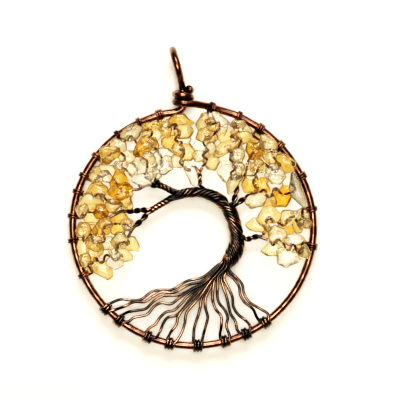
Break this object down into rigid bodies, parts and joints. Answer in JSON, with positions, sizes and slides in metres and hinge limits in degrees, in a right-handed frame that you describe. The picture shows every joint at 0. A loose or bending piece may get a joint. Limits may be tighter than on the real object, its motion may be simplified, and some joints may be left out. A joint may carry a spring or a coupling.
{
  "type": "tree of life pendant",
  "caption": "Round wire pendant of a leaning tree with wound roots, a twisted trunk and stone chips strung in its crown, hung from a bail.",
  "frame": {"origin": "centre of the outline, on the surface the pendant rests on", "axes": "+Y from the roots up to the bail, +Z out of the front face, +X to the wearer-side right of a front view"},
  "size_m": [0.0512, 0.0622, 0.0091],
  "materials": {
    "copper_frame": "antique copper, dark brown in its hollows, semi-gloss",
    "copper_trunk": "antique copper, nearly black, polished on its strands",
    "copper_roots": "antique copper, dark, semi-gloss",
    "copper_thread": "antique copper, semi-gloss",
    "citrine_chips": "clear yellow to amber stone, tumbled and polished"
  },
  "bodies": {
    "root": {"ring_frame": "copper_frame", "trunk": "copper_trunk", "root_wire_1": "copper_roots", "root_wire_2": "copper_roots", "root_wire_3": "copper_roots", "root_wire_4": "copper_roots", "root_wire_5": "copper_roots", "root_wire_6": "copper_roots", "root_wire_7": "copper_roots", "root_wire_8": "copper_roots", "branch_left_high": "copper_roots", "branch_left_low": "copper_roots", "branch_left_lower": "copper_roots", "branch_left_upper": "copper_roots", "branch_right_high": "copper_roots", "branch_right_low": "copper_roots", "branch_right_middle": "copper_roots", "branch_top": "copper_roots", "crown_wire_left_1": "copper_thread", "crown_wire_left_2": "copper_thread", "crown_wire_left_3": "copper_thread", "crown_wire_left_4": "copper_thread", "crown_wire_left_5": "copper_thread", "crown_wire_left_6": "copper_thread", "crown_wire_left_7": "copper_thread", "crown_wire_left_8": "copper_thread", "crown_wire_left_9": "copper_thread", "crown_wire_right_1": "copper_thread", "crown_wire_right_2": "copper_thread", "crown_wire_right_3": "copper_thread", "crown_wire_right_4": "copper_thread", "crown_wire_right_5": "copper_thread", "crown_wire_right_6": "copper_thread", "crown_wire_right_7": "copper_thread", "chips_left_1": "citrine_chips", "chips_left_2": "citrine_chips", "chips_left_3": "citrine_chips", "chips_left_4": "citrine_chips", "chips_left_5": "citrine_chips", "chips_left_6": "citrine_chips", "chips_left_7": "citrine_chips", "chips_left_8": "citrine_chips", "chips_left_9": "citrine_chips", "chips_right_1": "citrine_chips", "chips_right_2": "citrine_chips", "chips_right_3": "citrine_chips", "chips_right_4": "citrine_chips", "chips_right_5": "citrine_chips", "chips_right_6": "citrine_chips", "chips_right_7": "citrine_chips"}
  },
  "joints": []
}
